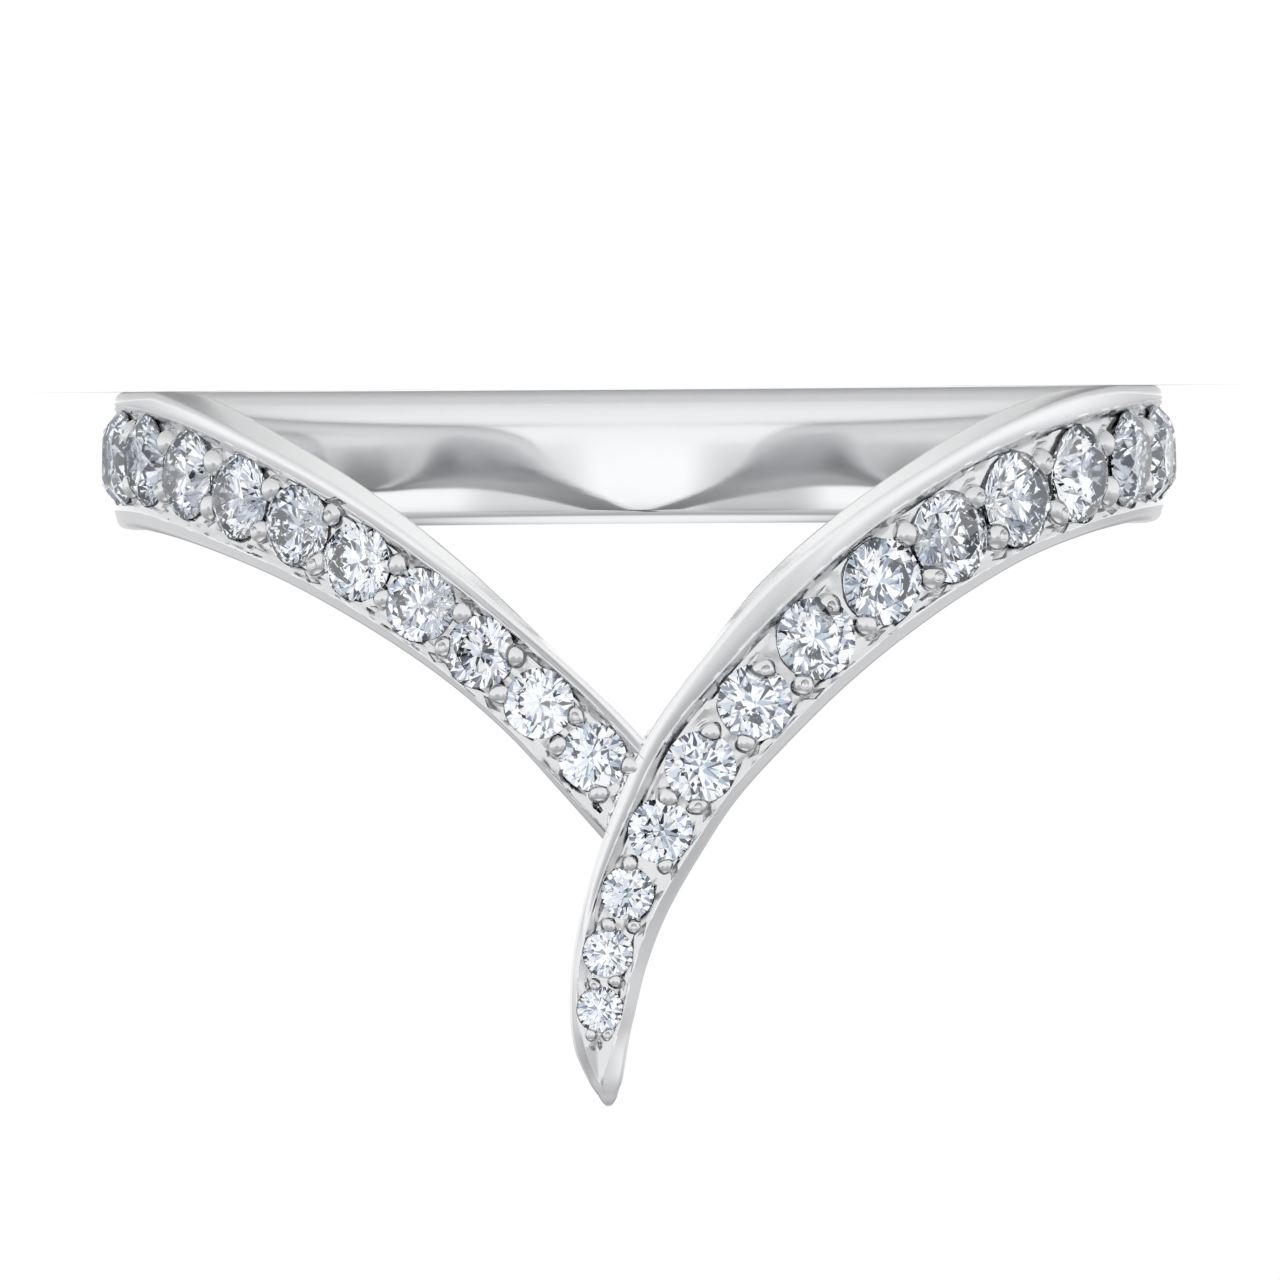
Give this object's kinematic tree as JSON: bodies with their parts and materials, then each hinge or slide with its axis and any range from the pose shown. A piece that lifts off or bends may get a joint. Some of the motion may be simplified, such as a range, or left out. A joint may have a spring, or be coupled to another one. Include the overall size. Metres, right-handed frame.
{
  "type": "ring jacket",
  "caption": "Open V-shaped ring jacket: a plain back band with stone-set arms that meet in a V, the longer arm running on into a curved point.",
  "frame": {"origin": "on the finger hole's axis, in the plane of the flat rim that the ring lies on", "axes": "+Z along the finger hole, from the flat rim towards the point; -Y towards the V at the front; +X towards the side of the short arm"},
  "size_m": [0.0204, 0.0201, 0.0132],
  "materials": {
    "white_gold": "polished white gold, rhodium plated",
    "diamond": "cut and polished"
  },
  "bodies": {
    "root": {"ring_band": "white_gold", "stone_short_01": "diamond", "stone_short_02": "diamond", "stone_short_03": "diamond", "stone_short_04": "diamond", "stone_short_05": "diamond", "stone_short_06": "diamond", "stone_short_07": "diamond", "stone_short_08": "diamond", "stone_short_09": "diamond", "stone_short_10": "diamond", "stone_short_11": "diamond", "stone_long_01": "diamond", "stone_long_02": "diamond", "stone_long_03": "diamond", "stone_long_04": "diamond", "stone_long_05": "diamond", "stone_long_06": "diamond", "stone_long_07": "diamond", "stone_long_08": "diamond", "stone_long_09": "diamond", "stone_long_10": "diamond", "stone_long_11": "diamond", "stone_long_12": "diamond", "stone_long_13": "diamond", "stone_long_14": "diamond"}
  },
  "joints": []
}
